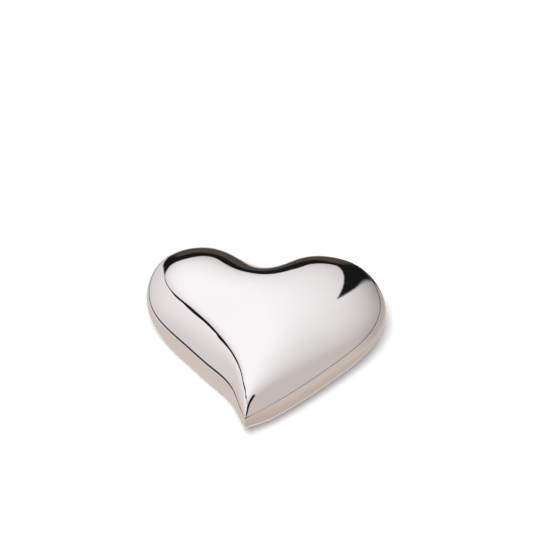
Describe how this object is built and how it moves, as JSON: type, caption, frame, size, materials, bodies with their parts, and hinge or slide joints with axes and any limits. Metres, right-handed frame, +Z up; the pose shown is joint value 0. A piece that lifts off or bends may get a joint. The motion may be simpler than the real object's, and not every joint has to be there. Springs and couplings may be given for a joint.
{
  "type": "heart shaped trinket box",
  "caption": "Polished metal heart-shaped trinket box with a domed lid on small hidden hinges, a velvet-lined inside and a felt foot.",
  "frame": {"origin": "on the table under the middle of the whole box", "axes": "+Z up, +X to the right seen with the point of the heart towards the viewer, +Y towards the hinges and the cleft"},
  "size_m": [0.0761, 0.0674, 0.0237],
  "materials": {
    "shell_metal": "mirror polish",
    "collar_metal": "satin",
    "hinge_metal": "polished",
    "post_metal": "satin",
    "pin_steel": "bright",
    "rivet_metal": "bright",
    "magnet": "plated",
    "tray_flock": "flocked",
    "velvet": "velvet",
    "liner_satin": "satin",
    "pad_satin": "satin",
    "felt": "felt"
  },
  "bodies": {
    "base": {"base_shell": "shell_metal", "locating_collar": "collar_metal", "base_tray": "tray_flock", "base_cushion": "velvet", "felt_pad": "felt", "magnet_post": "post_metal", "base_magnet": "magnet", "base_leaf_left": "hinge_metal", "hinge_pin_left": "pin_steel", "base_leaf_right": "hinge_metal", "hinge_pin_right": "pin_steel", "base_rivet_1": "rivet_metal", "base_rivet_2": "rivet_metal", "base_rivet_3": "rivet_metal", "base_rivet_4": "rivet_metal"},
    "lid": {"lid_shell": "shell_metal", "lid_liner": "liner_satin", "lid_pad": "pad_satin", "keeper_cup": "post_metal", "lid_keeper": "pin_steel", "lid_leaf_left": "hinge_metal", "lid_leaf_right": "hinge_metal", "lid_rivet_1": "rivet_metal", "lid_rivet_2": "rivet_metal", "lid_rivet_3": "rivet_metal", "lid_rivet_4": "rivet_metal"}
  },
  "joints": [
    {"name": "lid_hinge", "type": "hinge", "parent": "base", "child": "lid", "pos_m": [-0.00188, 0.03155, 0.01238], "axis": [-1, 0, 0], "range_deg": [0, 100]}
  ]
}
